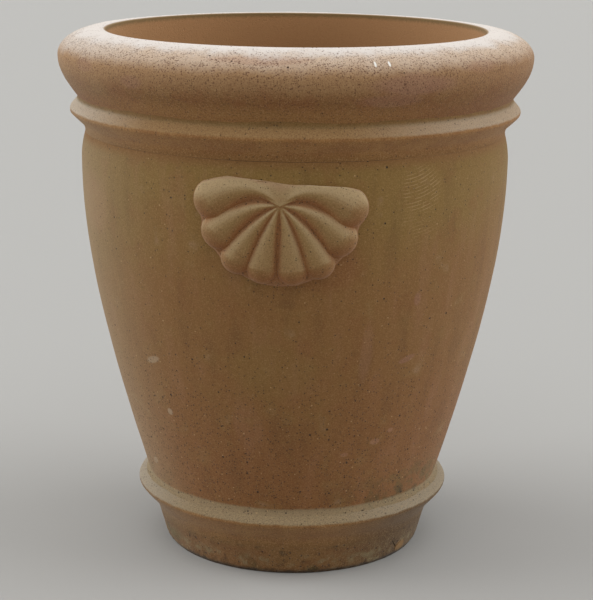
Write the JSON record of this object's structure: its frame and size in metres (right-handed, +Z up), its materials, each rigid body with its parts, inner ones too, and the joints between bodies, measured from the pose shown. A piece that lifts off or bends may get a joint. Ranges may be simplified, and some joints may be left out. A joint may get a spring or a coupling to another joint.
{
  "type": "garden planter",
  "caption": "Large barrel-shaped clay floor planter with a thick rolled rim, a collar, a band over its foot and a pressed shell ornament, open at the top with a drain hole.",
  "frame": {"origin": "centre of the foot's underside, on the ground", "axes": "+Z up the pot's axis, -Y out of the front shell, +X to the viewer's right"},
  "size_m": [0.61, 0.61, 0.679],
  "materials": {
    "wall_clay": "matt, sandy, pinholed tan clay with ochre and olive clouds",
    "rim_clay": "matt, finely pitted tan clay, paler on top, with faint pink bloom",
    "band_clay": "matt tan clay, dusty grey-tan on its upper faces",
    "shell_clay": "matt, softly moulded tan clay, darker in the grooves",
    "foot_clay": "matt, damp-stained brown clay with dark and olive mottling"
  },
  "bodies": {
    "root": {"floor_slab": "foot_clay", "foot_wall": "foot_clay", "lower_band": "band_clay", "barrel_wall": "wall_clay", "upper_collar": "band_clay", "rolled_rim": "rim_clay", "shell_front": "shell_clay", "shell_back": "shell_clay"}
  },
  "joints": []
}
